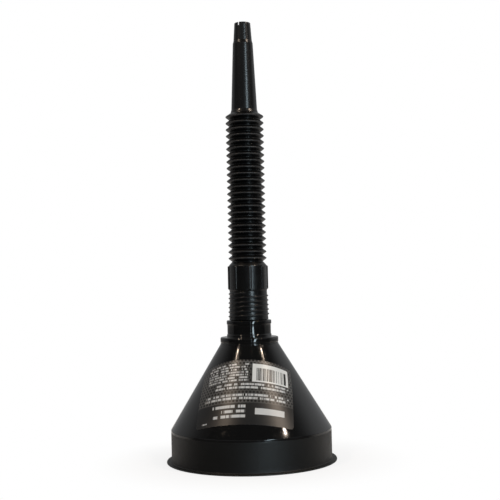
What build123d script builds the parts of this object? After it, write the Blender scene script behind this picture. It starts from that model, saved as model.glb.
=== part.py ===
from build123d import *
import os
from math import atan2, cos, degrees, hypot, sin, tan

# A plastic funnel that stands on its rim, with a strainer in its throat and a
# flexible spout screwed over its neck. Millimetres and degrees. +Z runs up the
# axis, the origin is the centre of the rim's underside, and -Y is the front.

# Bowl
SKIRT_RADIUS = 75.5
RIM_WIDTH = 4.5
RIM_THICKNESS = 1.2
SKIRT_HEIGHT = 30.2
CONE_HEIGHT = 79.0
BODY_WALL = 1.6
BODY_FILLET = 0.5

# Strainer seat, the stepped ring between the cone and the neck
SEAT_RADIUS = 27.35
SEAT_HEIGHT = 6.6
SEAT_GROOVE_HEIGHT = 1.6
SEAT_GROOVE_DEPTH = 0.35
SEAT_FILLET = 0.8

# Neck and its threaded outlet, which the spout's sleeve screws over
NECK_LEDGE = 2.15
NECK_HEIGHT = 15.7
NECK_BEAD = 0.55
NECK_FOOT_HEIGHT = 2.2
NECK_COLLAR_HEIGHT = 3.4
OUTLET_LENGTH = 22.5
OUTLET_WALL = 2.0
OUTLET_THREAD_DEPTH = 0.5
SPOUT_CLEARANCE = 0.35

# Strainer
STRAINER_CLEARANCE = 0.25
STRAINER_RIM_WIDTH = 2.5
STRAINER_RIM_HEIGHT = 3.3
STRAINER_BAR_WIDTH = 2.2
STRAINER_TAB_WIDTH = 15.0
STRAINER_TAB_THICKNESS = 2.4
STRAINER_TAB_DROP = 11.0
STRAINER_TAB_CORNER = 5.0
MESH_THICKNESS = 0.6
MESH_EMBED = 0.8
MESH_PITCH = 2.6
MESH_HOLE = 1.8

# Spout sleeve: threaded length, plain band and ribbed grip
SLEEVE_RADIUS = 17.65
SLEEVE_FLARE = 0.75
SLEEVE_WALL = 1.2
SLEEVE_GAP = 0.3
THREADED_LENGTH = 25.2
THREAD_PITCH = 4.27
THREAD_LEAD_IN = 1.1
THREAD_DEPTH = 0.95
THREAD_WIDTH = 1.6
THREAD_CREST_WIDTH = 0.54
BAND_LENGTH = 3.2
GRIP_STEP = 0.3
GRIP_LENGTH = 22.8
GRIP_RIBS = 8
GRIP_RIB_WIDTH = 3.2
GRIP_RIB_HEIGHT = 1.15
GRIP_RIB_CHAMFER = 0.8
GRIP_RIB_TURN = 5.5
SHOULDER_HEIGHT = 3.85
SHOULDER_DEPTH = 3.25

# How deep ribs and thread ridges reach into the wall they stand on
EMBED = 0.4

# Bellows
CONVOLUTIONS = 23
CONVOLUTION_PITCH = 6.11
FOLD_DEPTH = 3.3
CREST_FLAT = 1.0
VALLEY_FLAT = 0.5
BELLOWS_WALL = 0.8

# Nozzle
NOZZLE_WALL = 1.2
NOZZLE_ROOT_STEP = 1.8
NOZZLE_ROOT_RISE = 0.9
NOZZLE_FLARE = 0.65
NOZZLE_FLARE_HEIGHT = 2.5
NOZZLE_STEP_RADIUS = 9.5
NOZZLE_LENGTH = 63.4
STEP_HEIGHT = 2.8
TIP_BASE_RADIUS = 8.75
TIP_END_RADIUS = 7.6
TIP_LENGTH = 17.0
VENT_WIDTH = 1.5
VENT_DEPTH = 4.0
VENT_TURN = -30.0

# Label, cut straight and wrapped on the cone
LABEL_THICKNESS = 0.25
LABEL_TOP_SLANT = 66.9
LABEL_BOTTOM_SLANT = 130.2
LABEL_TOP_HALF_WIDTH = 39.5
LABEL_BOTTOM_HALF_WIDTH = 44.8
LABEL_CORNER = 3.0
LABEL_MARGIN = 1.6
LABEL_TURN = -6.0

# Radii that follow from the sizes above, from the spout's sleeve outwards and upwards
RIM_RADIUS = SKIRT_RADIUS + RIM_WIDTH
SLEEVE_BORE = SLEEVE_RADIUS - SLEEVE_WALL
SLEEVE_FOOT_RADIUS = SLEEVE_RADIUS + SLEEVE_FLARE
NECK_RADIUS = SLEEVE_FOOT_RADIUS + NECK_LEDGE
OUTLET_RADIUS = SLEEVE_BORE - SPOUT_CLEARANCE - OUTLET_THREAD_DEPTH
GRIP_RADIUS = SLEEVE_RADIUS + GRIP_STEP
VALLEY_RADIUS = GRIP_RADIUS - SHOULDER_DEPTH
CREST_RADIUS = VALLEY_RADIUS + FOLD_DEPTH
NOZZLE_ROOT_RADIUS = VALLEY_RADIUS - NOZZLE_ROOT_STEP
NOZZLE_BASE_RADIUS = NOZZLE_ROOT_RADIUS - NOZZLE_FLARE

# Levels up the axis
CONE_BOTTOM = SKIRT_HEIGHT
CONE_TOP = CONE_BOTTOM + CONE_HEIGHT
SEAT_TOP = CONE_TOP + SEAT_HEIGHT
NECK_TOP = SEAT_TOP + NECK_HEIGHT
SLEEVE_BOTTOM = NECK_TOP + SLEEVE_GAP
BAND_BOTTOM = SLEEVE_BOTTOM + THREADED_LENGTH
GRIP_BOTTOM = BAND_BOTTOM + BAND_LENGTH
GRIP_TOP = GRIP_BOTTOM + GRIP_LENGTH
BELLOWS_BOTTOM = GRIP_TOP + SHOULDER_HEIGHT
BELLOWS_TOP = BELLOWS_BOTTOM + CONVOLUTIONS * CONVOLUTION_PITCH

# The cone's outside is the line z = CONE_TOP - CONE_SLOPE * (r - SEAT_RADIUS)
CONE_SLOPE = CONE_HEIGHT / (SKIRT_RADIUS - SEAT_RADIUS)
CONE_HALF_ANGLE = atan2(1, CONE_SLOPE)
CONE_WALL_DROP = BODY_WALL * hypot(1, CONE_SLOPE)
SEAT_BORE = SEAT_RADIUS - BODY_WALL
SEAT_LEDGE = SEAT_TOP - BODY_WALL
STRAINER_TOP = SEAT_LEDGE - STRAINER_CLEARANCE
STRAINER_RADIUS = SEAT_BORE - STRAINER_CLEARANCE
STRAINER_OPENING = STRAINER_RADIUS - STRAINER_RIM_WIDTH
MESH_BOTTOM = STRAINER_TOP - STRAINER_RIM_HEIGHT / 2


def cone_z(radius, wall_drop=0.0):
    """Height of the cone's outside at a radius, or of its inside with the wall's drop."""
    return CONE_TOP - CONE_SLOPE * (radius - SEAT_RADIUS) - wall_drop


def thread_ridge(radius, bottom, length, depth, taper=0.0):
    """A right-hand helical ridge along a tube of this radius, rooted in its wall."""
    path = Helix(THREAD_PITCH, length, radius, (0, 0, bottom), cone_angle=taper)
    start = Plane((radius, 0, bottom), x_dir=(1, 0, 0), z_dir=(0, -1, 0))
    with BuildSketch(start) as section:
        Polygon(
            (-EMBED, -THREAD_WIDTH / 2),
            (depth, -THREAD_CREST_WIDTH / 2),
            (depth, THREAD_CREST_WIDTH / 2),
            (-EMBED, THREAD_WIDTH / 2),
            align=None,
        )
    return sweep(section.sketch, path=path, is_frenet=True)


def make_funnel_body():
    """Rim, skirt, cone, strainer seat, neck and threaded outlet in one moulding."""
    skirt_bore = SKIRT_RADIUS - BODY_WALL
    neck_bore = NECK_RADIUS - BODY_WALL
    outlet_bore = OUTLET_RADIUS - OUTLET_WALL
    outlet_top = NECK_TOP + OUTLET_LENGTH
    bead = NECK_RADIUS + NECK_BEAD
    groove = SEAT_RADIUS - SEAT_GROOVE_DEPTH
    ridge = thread_ridge(
        OUTLET_RADIUS,
        NECK_TOP + THREAD_LEAD_IN,
        OUTLET_LENGTH - 2 * THREAD_LEAD_IN,
        OUTLET_THREAD_DEPTH,
    )
    with BuildPart() as body:
        with BuildSketch(Plane.XZ):
            with BuildLine():
                Polyline(
                    (skirt_bore, 0),
                    (RIM_RADIUS, 0),
                    (RIM_RADIUS, RIM_THICKNESS),
                    (SKIRT_RADIUS, RIM_THICKNESS),
                    (SKIRT_RADIUS, CONE_BOTTOM),
                    (SEAT_RADIUS, CONE_TOP),
                    (SEAT_RADIUS, CONE_TOP + SEAT_GROOVE_DEPTH),
                    (groove, CONE_TOP + 2 * SEAT_GROOVE_DEPTH),
                    (groove, CONE_TOP + SEAT_GROOVE_HEIGHT),
                    (SEAT_RADIUS, CONE_TOP + SEAT_GROOVE_HEIGHT + SEAT_GROOVE_DEPTH),
                    (SEAT_RADIUS, SEAT_TOP),
                    (bead, SEAT_TOP),
                    (bead, SEAT_TOP + NECK_FOOT_HEIGHT),
                    (NECK_RADIUS, SEAT_TOP + NECK_FOOT_HEIGHT + NECK_BEAD),
                    (NECK_RADIUS, NECK_TOP - NECK_COLLAR_HEIGHT - NECK_BEAD),
                    (bead, NECK_TOP - NECK_COLLAR_HEIGHT),
                    (bead, NECK_TOP),
                    (OUTLET_RADIUS, NECK_TOP),
                    (OUTLET_RADIUS, outlet_top),
                    (outlet_bore, outlet_top),
                    (outlet_bore, NECK_TOP - BODY_WALL),
                    (neck_bore, NECK_TOP - BODY_WALL),
                    (neck_bore, SEAT_LEDGE),
                    (SEAT_BORE, SEAT_LEDGE),
                    (SEAT_BORE, cone_z(SEAT_BORE, CONE_WALL_DROP)),
                    (skirt_bore, cone_z(skirt_bore, CONE_WALL_DROP)),
                    (skirt_bore, 0),
                )
            make_face()
        revolve(axis=Axis.Z)
        rounded = body.edges().filter_by(GeomType.CIRCLE)
        fillet(rounded.filter_by(at(RIM_RADIUS, RIM_THICKNESS)), BODY_FILLET)
        fillet(rounded.filter_by(at(SEAT_RADIUS, SEAT_TOP)), SEAT_FILLET)
        fillet(rounded.filter_by(at(bead, NECK_TOP)), BODY_FILLET)
        add(ridge)
    return body.part


def at(radius, height):
    """A filter for the circular edge with this radius at this height on the axis."""
    near = BODY_FILLET / 100

    def matches(edge):
        return (
            abs(edge.radius - radius) < near
            and abs(edge.arc_center.Z - height) < near
        )

    return matches


def make_label():
    """A paper rectangle wrapped on the cone, cut square to the cone's front line."""
    front = Vector(0, -cos(CONE_HALF_ANGLE), sin(CONE_HALF_ANGLE))
    front = front.rotate(Axis.Z, LABEL_TURN)
    across = Vector(1, 0, 0).rotate(Axis.Z, LABEL_TURN)
    touching = Plane((0, 0, cone_z(0)), x_dir=across, z_dir=front)
    lift = hypot(1, CONE_SLOPE) * LABEL_THICKNESS
    top_radius = SEAT_RADIUS + LABEL_MARGIN
    bottom_radius = SKIRT_RADIUS - LABEL_MARGIN
    with BuildPart() as label:
        with BuildSketch(Plane.XZ):
            Polygon(
                (top_radius, cone_z(top_radius)),
                (bottom_radius, cone_z(bottom_radius)),
                (bottom_radius, cone_z(bottom_radius) + lift),
                (top_radius, cone_z(top_radius) + lift),
                align=None,
            )
        revolve(axis=Axis.Z)
        with BuildSketch(touching.offset(LABEL_MARGIN)) as outline:
            Polygon(
                (-LABEL_TOP_HALF_WIDTH, -LABEL_TOP_SLANT),
                (LABEL_TOP_HALF_WIDTH, -LABEL_TOP_SLANT),
                (LABEL_BOTTOM_HALF_WIDTH, -LABEL_BOTTOM_SLANT),
                (-LABEL_BOTTOM_HALF_WIDTH, -LABEL_BOTTOM_SLANT),
                align=None,
            )
            fillet(outline.vertices(), LABEL_CORNER)
        extrude(amount=-LABEL_BOTTOM_HALF_WIDTH, mode=Mode.INTERSECT)
    return label.part


def make_strainer_frame():
    """Ring with a cross of bars under the mesh and a tab to pull it out by."""
    bottom = STRAINER_TOP - STRAINER_RIM_HEIGHT
    with BuildPart() as frame:
        with BuildSketch(Plane.XY.offset(bottom)):
            Circle(STRAINER_RADIUS)
            Circle(STRAINER_OPENING, mode=Mode.SUBTRACT)
        extrude(amount=STRAINER_RIM_HEIGHT)
        with BuildSketch(Plane.XY.offset(bottom)):
            Rectangle(2 * STRAINER_OPENING + STRAINER_RIM_WIDTH, STRAINER_BAR_WIDTH)
            Rectangle(STRAINER_BAR_WIDTH, 2 * STRAINER_OPENING + STRAINER_RIM_WIDTH)
        extrude(amount=MESH_BOTTOM - bottom)
        with BuildSketch(Plane.XZ.offset(-STRAINER_TAB_THICKNESS / 2)) as tab:
            with Locations((0, MESH_BOTTOM)):
                Rectangle(
                    STRAINER_TAB_WIDTH,
                    STRAINER_TAB_DROP + MESH_BOTTOM - bottom,
                    align=(Align.CENTER, Align.MAX),
                )
            fillet(tab.vertices().group_by(Axis.Y)[0], STRAINER_TAB_CORNER)
        extrude(amount=STRAINER_TAB_THICKNESS)
        with BuildSketch(Plane.XY.offset(MESH_BOTTOM)):
            Circle(STRAINER_OPENING + MESH_EMBED)
        extrude(amount=MESH_THICKNESS, mode=Mode.SUBTRACT)
    return frame.part


def make_strainer_mesh():
    """Disc of square openings, held in the frame's groove."""
    reach = STRAINER_OPENING - MESH_HOLE
    count = int(2 * reach / MESH_PITCH)
    with BuildPart() as mesh:
        with BuildSketch(Plane.XY.offset(MESH_BOTTOM)):
            Circle(STRAINER_OPENING + MESH_EMBED)
            grid = GridLocations(MESH_PITCH, MESH_PITCH, count, count)
            inside = [
                spot for spot in grid.locations if spot.position.length < reach
            ]
            with Locations(*inside):
                Rectangle(MESH_HOLE, MESH_HOLE, mode=Mode.SUBTRACT)
        extrude(amount=MESH_THICKNESS)
    return mesh.part


def make_grip_rib():
    """One rounded rib of the grip, on the side nearest the front."""
    first = Plane.XZ.rotated((0, 0, GRIP_RIB_TURN))
    with BuildPart() as rib:
        with BuildSketch(first.offset(GRIP_RADIUS - EMBED)):
            with Locations((0, (GRIP_BOTTOM + GRIP_TOP) / 2)):
                SlotOverall(GRIP_LENGTH, GRIP_RIB_WIDTH, rotation=90)
        extrude(amount=EMBED + GRIP_RIB_HEIGHT)
        chamfer(rib.faces().sort_by(Axis.Y)[0].edges(), GRIP_RIB_CHAMFER)
    return rib.part


def make_spout_sleeve():
    """Threaded sleeve, ribbed grip and shoulder at the foot of the spout."""
    foot_bore = SLEEVE_FOOT_RADIUS - SLEEVE_WALL
    valley_bore = VALLEY_RADIUS - BELLOWS_WALL
    taper = -degrees(atan2(SLEEVE_FLARE, THREADED_LENGTH))
    ridge = thread_ridge(
        SLEEVE_FOOT_RADIUS,
        SLEEVE_BOTTOM + THREAD_LEAD_IN,
        THREADED_LENGTH - 2 * THREAD_LEAD_IN,
        THREAD_DEPTH,
        taper,
    )
    rib = make_grip_rib()
    with BuildPart() as sleeve:
        with BuildSketch(Plane.XZ):
            with BuildLine():
                Polyline(
                    (foot_bore, SLEEVE_BOTTOM),
                    (SLEEVE_FOOT_RADIUS, SLEEVE_BOTTOM),
                    (SLEEVE_RADIUS, BAND_BOTTOM),
                    (SLEEVE_RADIUS, GRIP_BOTTOM - SLEEVE_WALL),
                    (GRIP_RADIUS, GRIP_BOTTOM),
                    (GRIP_RADIUS, GRIP_TOP),
                    (VALLEY_RADIUS, BELLOWS_BOTTOM - VALLEY_FLAT / 2),
                    (VALLEY_RADIUS, BELLOWS_BOTTOM),
                    (valley_bore, BELLOWS_BOTTOM),
                    (valley_bore, BELLOWS_BOTTOM - VALLEY_FLAT),
                    (SLEEVE_BORE, GRIP_TOP - SLEEVE_WALL / 2),
                    (SLEEVE_BORE, BAND_BOTTOM),
                    (foot_bore, SLEEVE_BOTTOM),
                )
            make_face()
        revolve(axis=Axis.Z)
        with PolarLocations(0, GRIP_RIBS):
            add(rib)
        add(ridge)
    return sleeve.part


def make_convolution(number):
    """One fold of the bellows, from the valley below its crest to the one above."""
    rise = (CONVOLUTION_PITCH - CREST_FLAT - VALLEY_FLAT) / 2
    lean = atan2(CREST_RADIUS - VALLEY_RADIUS, rise)
    inset = BELLOWS_WALL * tan(lean / 2)
    valley, crest = VALLEY_FLAT / 2, VALLEY_FLAT / 2 + rise
    top = CONVOLUTION_PITCH
    inner_valley, inner_crest = VALLEY_RADIUS - BELLOWS_WALL, CREST_RADIUS - BELLOWS_WALL
    bottom = BELLOWS_BOTTOM + (number - 1) * CONVOLUTION_PITCH
    with BuildPart() as fold:
        with BuildSketch(Plane((0, 0, bottom), x_dir=(1, 0, 0), z_dir=(0, -1, 0))):
            with BuildLine():
                Polyline(
                    (VALLEY_RADIUS, 0),
                    (VALLEY_RADIUS, valley),
                    (CREST_RADIUS, crest),
                    (CREST_RADIUS, top - crest),
                    (VALLEY_RADIUS, top - valley),
                    (VALLEY_RADIUS, top),
                    (inner_valley, top),
                    (inner_valley, top - valley - inset),
                    (inner_crest, top - crest - inset),
                    (inner_crest, crest + inset),
                    (inner_valley, valley + inset),
                    (inner_valley, 0),
                    (VALLEY_RADIUS, 0),
                )
            make_face()
        revolve(axis=Axis.Z)
    return fold.part


def make_nozzle():
    """Tapered outlet with a stepped tip and a vent notch in its end."""
    root = BELLOWS_TOP + NOZZLE_ROOT_RISE
    base = root + NOZZLE_FLARE_HEIGHT
    step = base + NOZZLE_LENGTH
    tip = step + STEP_HEIGHT
    end = tip + TIP_LENGTH
    with BuildPart() as nozzle:
        with BuildSketch(Plane.XZ):
            with BuildLine():
                Polyline(
                    (VALLEY_RADIUS, BELLOWS_TOP),
                    (VALLEY_RADIUS, BELLOWS_TOP + VALLEY_FLAT / 2),
                    (NOZZLE_ROOT_RADIUS, root),
                    (NOZZLE_BASE_RADIUS, base),
                    (NOZZLE_STEP_RADIUS, step),
                    (TIP_BASE_RADIUS, tip),
                    (TIP_END_RADIUS, end),
                    (TIP_END_RADIUS - NOZZLE_WALL, end),
                    (TIP_BASE_RADIUS - NOZZLE_WALL, tip),
                    (NOZZLE_STEP_RADIUS - NOZZLE_WALL, step),
                    (NOZZLE_BASE_RADIUS - NOZZLE_WALL, base),
                    (NOZZLE_ROOT_RADIUS - NOZZLE_WALL, BELLOWS_TOP),
                    (VALLEY_RADIUS - BELLOWS_WALL, BELLOWS_TOP),
                    (VALLEY_RADIUS, BELLOWS_TOP),
                )
            make_face()
        revolve(axis=Axis.Z)
        with BuildSketch(Plane.XZ.rotated((0, 0, VENT_TURN))):
            with Locations((0, end - VENT_DEPTH / 2)):
                Rectangle(VENT_WIDTH, VENT_DEPTH)
        extrude(amount=2 * TIP_END_RADIUS, mode=Mode.SUBTRACT)
    return nozzle.part


def write(part, name):
    """Label one finished piece and write its STEP file."""
    part.label = name
    export_step(part, f"parts/{name}.step")


os.makedirs("parts", exist_ok=True)
write(make_funnel_body(), "funnel_body")
write(make_label(), "label")
write(make_strainer_frame(), "strainer_frame")
write(make_strainer_mesh(), "strainer_mesh")
write(make_spout_sleeve(), "spout_sleeve")
for number in range(1, CONVOLUTIONS + 1):
    write(make_convolution(number), f"convolution_{number:02d}")
write(make_nozzle(), "nozzle")
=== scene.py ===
"""A funnel with a flexible spout, built as operators round a fixed CAD frame.

Lengths are metres in the frame: +Z runs up the funnel, the rim stands on z = 0 and
-Y is the front.
"""

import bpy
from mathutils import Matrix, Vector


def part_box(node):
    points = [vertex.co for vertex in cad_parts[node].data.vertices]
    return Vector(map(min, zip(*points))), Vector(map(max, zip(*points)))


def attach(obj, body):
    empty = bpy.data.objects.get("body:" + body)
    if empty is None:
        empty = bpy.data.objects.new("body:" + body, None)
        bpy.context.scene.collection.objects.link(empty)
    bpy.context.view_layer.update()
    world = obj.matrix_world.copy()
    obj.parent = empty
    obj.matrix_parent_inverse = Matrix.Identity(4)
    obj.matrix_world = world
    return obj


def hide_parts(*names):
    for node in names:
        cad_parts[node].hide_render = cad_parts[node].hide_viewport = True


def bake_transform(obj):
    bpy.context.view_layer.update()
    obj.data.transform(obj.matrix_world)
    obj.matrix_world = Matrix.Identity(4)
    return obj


bl_info = {
    "name": "Flexible Spout Funnel",
    "version": (1, 0, 0),
    "blender": (4, 5, 0),
    "location": "View3D > Sidebar > Funnel",
    "description": "Builds a moulded funnel, its bellows spout, label and studio",
    "category": "Object",
}

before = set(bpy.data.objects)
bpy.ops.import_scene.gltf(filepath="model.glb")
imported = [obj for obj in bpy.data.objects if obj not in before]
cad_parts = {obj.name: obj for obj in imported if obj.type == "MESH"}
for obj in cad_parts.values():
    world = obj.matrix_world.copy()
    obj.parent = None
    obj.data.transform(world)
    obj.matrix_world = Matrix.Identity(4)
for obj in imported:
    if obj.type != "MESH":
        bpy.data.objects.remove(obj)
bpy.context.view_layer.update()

import math

import bmesh
import bpy
from mathutils import Matrix, Vector

MM = 0.001
SHARP = math.radians(38.0)
BODY_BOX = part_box("funnel_body")
SLEEVE_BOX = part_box("spout_sleeve")
NOZZLE_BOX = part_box("nozzle")
FOLDS = sorted(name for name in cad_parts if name.startswith("convolution_"))
FOLD_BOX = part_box(FOLDS[0])
PITCH = FOLD_BOX[1].z - FOLD_BOX[0].z
BELLOWS_FOOT = FOLD_BOX[0].z
CREST_RADIUS = FOLD_BOX[1].x


def length(name, description, default):
    """A length in metres, shown in the scene's units."""
    return bpy.props.FloatProperty(
        name=name, description=description, default=default, min=0.0,
        subtype="DISTANCE", unit="LENGTH", precision=5,
    )


def colour(name, description, default):
    """A linear colour with no alpha."""
    return bpy.props.FloatVectorProperty(
        name=name, description=description, default=default,
        subtype="COLOR", size=3, min=0.0, max=1.0,
    )


def share(name, description, default):
    """A plain number from 0 to 1."""
    return bpy.props.FloatProperty(
        name=name, description=description, default=default,
        min=0.0, max=1.0, subtype="FACTOR",
    )


def rotation(name, description, degrees):
    """An angle given in degrees."""
    return bpy.props.FloatProperty(
        name=name, description=description, default=math.radians(degrees),
        subtype="ANGLE", unit="ROTATION",
    )


class BowlSettings(bpy.types.PropertyGroup):
    """Sizes and finish of the bowl's moulding."""

    rim_thickness: length("Rim thickness", "Height of the rim flange", 1.2 * MM)
    skirt_radius: length("Skirt radius", "Outside radius of the upright skirt", 75.5 * MM)
    skirt_height: length("Skirt height", "Height of the skirt above the ground", 30.2 * MM)
    seat_bottom: length("Seat bottom", "Height where the cone meets the seat", 109.2 * MM)
    seat_top: length("Seat top", "Height of the top of the strainer seat", 115.8 * MM)
    seat_radius: length("Seat radius", "Outside radius of the strainer seat", 27.35 * MM)
    neck_top: length("Neck top", "Height of the top of the neck's collar", 131.5 * MM)
    neck_radius: length("Neck radius", "Outside radius of the neck", 20.55 * MM)
    neck_bead: length("Neck bead", "How far the neck's beads stand out", 0.55 * MM)
    outlet_radius: length("Outlet radius", "Outside radius of the outlet", 15.6 * MM)
    wall: length("Wall", "Thickness of the moulding", 1.6 * MM)
    tint: colour("Colour", "Colour of the bowl's plastic", (0.0035, 0.0035, 0.0036))
    gloss_roughness: share("Gloss roughness", "Roughness of the polished cone", 0.07)
    skirt_roughness: share("Skirt roughness", "Roughness of the satin skirt", 0.5)


class SpoutSettings(bpy.types.PropertyGroup):
    """Sizes and finish of the flexible spout."""

    wall: length("Wall", "Thickness of the spout's wall", 1.0 * MM)
    foot_radius: length("Foot radius", "Radius at the sleeve's lower end", 18.4 * MM)
    band_radius: length("Band radius", "Radius of the plain band", 17.65 * MM)
    thread_length: length("Thread length", "Length of the threaded part", 26.7 * MM)
    thread_pitch: length("Thread pitch", "Distance between two ridges", 4.27 * MM)
    thread_depth: length("Thread depth", "Height of the ridge", 0.95 * MM)
    thread_width: length("Thread width", "Width of the ridge at its root", 2.1 * MM)
    thread_lead_in: length("Thread lead-in", "Plain length at each end", 1.1 * MM)
    grip_bottom: length("Grip bottom", "Height where the grip starts", 160.2 * MM)
    grip_top: length("Grip top", "Height where the shoulder starts", 183.0 * MM)
    grip_radius: length("Grip radius", "Radius between the ribs", 17.95 * MM)
    rib_count: bpy.props.IntProperty(
        name="Ribs", description="Number of ribs round the grip", default=8, min=1
    )
    rib_width: length("Rib width", "Width of one rib", 3.2 * MM)
    rib_height: length("Rib height", "How far a rib stands out", 1.15 * MM)
    rib_turn: rotation("Rib turn", "Angle of the first rib from the front", 5.5)
    valley_radius: length("Valley radius", "Radius between two folds", 14.7 * MM)
    fold_wall: length("Fold wall", "Thickness of the bellows' wall", 0.8 * MM)
    nozzle_root: length("Nozzle root radius", "Radius where the bellows ends", 12.95 * MM)
    nozzle_base: length("Nozzle base radius", "Radius at the nozzle's base", 12.25 * MM)
    nozzle_step: length("Step radius", "Radius below the step", 9.5 * MM)
    tip_base: length("Tip base radius", "Radius above the step", 8.75 * MM)
    tip_end: length("Tip end radius", "Radius of the tip's end", 7.6 * MM)
    tip_length: length("Tip length", "Length of the tip above the step", 17.0 * MM)
    step_height: length("Step height", "Height of the sloping step", 2.8 * MM)
    vent_width: length("Vent width", "Width of the vent notch", 1.5 * MM)
    vent_depth: length("Vent depth", "Depth of the vent notch", 4.0 * MM)
    vent_turn: rotation("Vent turn", "Angle of the vent notch from the front", -30.0)
    tint: colour("Colour", "Colour of the spout's plastic", (0.0018, 0.0019, 0.0021))
    roughness: share("Roughness", "Roughness of the spout's plastic", 0.27)


class LabelSettings(bpy.types.PropertyGroup):
    """Size, place and inks of the wrapped label."""

    width: length("Width", "Width of the flat label", 92.0 * MM)
    top_slant: length("Top", "Distance of the top edge from the cone's apex", 66.9 * MM)
    bottom_slant: length("Bottom", "Distance of the bottom edge from the apex", 130.2 * MM)
    corner: length("Corner", "Radius of the corners", 3.0 * MM)
    thickness: length("Thickness", "Thickness of the film", 0.25 * MM)
    turn: rotation("Turn", "Angle of the label's middle from the front", -6.0)
    ground: colour("Ground", "Dark ground of the print", (0.012, 0.012, 0.0125))
    grey: colour("Grey", "Light grey of the punched-plate pattern", (0.115, 0.112, 0.108))
    ink: colour("Ink", "Pale ink of the bars and lines", (0.62, 0.62, 0.62))


class StrainerSettings(bpy.types.PropertyGroup):
    """Finish of the strainer."""

    frame_tint: colour("Frame colour", "Colour of the strainer's frame", (0.02, 0.02, 0.021))
    mesh_tint: colour("Mesh colour", "Colour of the strainer's mesh", (0.16, 0.16, 0.17))


class StudioSettings(bpy.types.PropertyGroup):
    """Camera, lights and floor."""

    distance: length("Distance", "Camera's distance in front of the axis", 0.948)
    height: length("Height", "Camera's height above the floor", 0.174)
    offset: bpy.props.FloatProperty(
        name="Offset", description="Camera's place to the right of the axis",
        default=2.5 * MM, subtype="DISTANCE", unit="LENGTH", precision=5,
    )
    pitch: rotation("Pitch", "How far the camera looks up", 1.43)
    roll: rotation("Roll", "How far the camera is turned about its view", -1.3)
    lens: bpy.props.FloatProperty(
        name="Lens", description="Focal length in millimetres", default=72.0, min=1.0
    )
    floor_tint: colour("Floor colour", "Colour of the floor", (0.9, 0.9, 0.9))
    floor_reflected: colour(
        "Reflected floor", "Colour of the floor as the funnel reflects it", (0.09, 0.09, 0.09)
    )


# ---- mesh helpers


def rounded(corners, steps=5):
    """A closed outline from corners (r, z) or (r, z, radius), each radius made an arc."""
    points = []
    count = len(corners)
    for i, corner in enumerate(corners):
        here = Vector(corner[:2])
        radius = corner[2] if len(corner) > 2 else 0.0
        before = Vector(corners[i - 1][:2]) - here
        after = Vector(corners[(i + 1) % count][:2]) - here
        if radius <= 0.0:
            points.append(here)
            continue
        before.normalize()
        after.normalize()
        half = before.angle(after) / 2
        reach = radius / math.tan(half)
        centre = here + (before + after).normalized() * radius / math.sin(half)
        start = here + before * reach - centre
        end = here + after * reach - centre
        sweep = start.angle_signed(end)
        for k in range(steps + 1):
            points.append(centre + Matrix.Rotation(-sweep * k / steps, 2) @ start)
    return points


def spaced(outline, gap):
    """The same closed outline with no stretch longer than the gap."""
    points = []
    for i, here in enumerate(outline):
        after = outline[(i + 1) % len(outline)]
        pieces = max(1, math.ceil((after - here).length / gap))
        points += [here.lerp(after, k / pieces) for k in range(pieces)]
    return points


def lathe(name, outline, segments, shape=None):
    """A closed solid turned from a closed outline; shape(angle, r, z) may change r."""
    mesh = bmesh.new()
    rings = []
    for i in range(segments):
        angle = math.tau * i / segments
        ring = []
        for r, z in outline:
            radius = shape(angle, r, z) if shape else r
            ring.append(mesh.verts.new((radius * math.cos(angle), radius * math.sin(angle), z)))
        rings.append(ring)
    count = len(outline)
    for i, ring in enumerate(rings):
        after = rings[(i + 1) % segments]
        for k in range(count):
            n = (k + 1) % count
            mesh.faces.new((ring[k], after[k], after[n], ring[n]))
    return finished(name, mesh)


def finished(name, mesh):
    """An object from a bmesh, with outward normals and smooth shading between sharp edges."""
    bmesh.ops.recalc_face_normals(mesh, faces=mesh.faces)
    data = bpy.data.meshes.new(name)
    mesh.to_mesh(data)
    mesh.free()
    data.shade_smooth()
    data.set_sharp_from_angle(angle=SHARP)
    piece = bpy.data.objects.new(name, data)
    bpy.context.scene.collection.objects.link(piece)
    return piece


def paint_highlight(piece, amount):
    """Store each point's painted highlight, 0 to 1: a paler tint standing in for light caught on
    crests and edges; amount(angle, r, z) gives it.
    """
    wear_and_highlight = piece.data.attributes.new("painted_highlight", "FLOAT", "POINT")
    values = [
        amount(math.atan2(v.co.y, v.co.x), math.hypot(v.co.x, v.co.y), v.co.z)
        for v in piece.data.vertices
    ]
    wear_and_highlight.data.foreach_set("value", values)


def front_angle(turn):
    """The angle from +X of a place that is turned this far from the front."""
    return turn - math.pi / 2


def smoothstep(t):
    """0 below 0, 1 above 1 and smooth between."""
    t = max(0.0, min(1.0, t))
    return t * t * (3 - 2 * t)


# ---- material helpers


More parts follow.
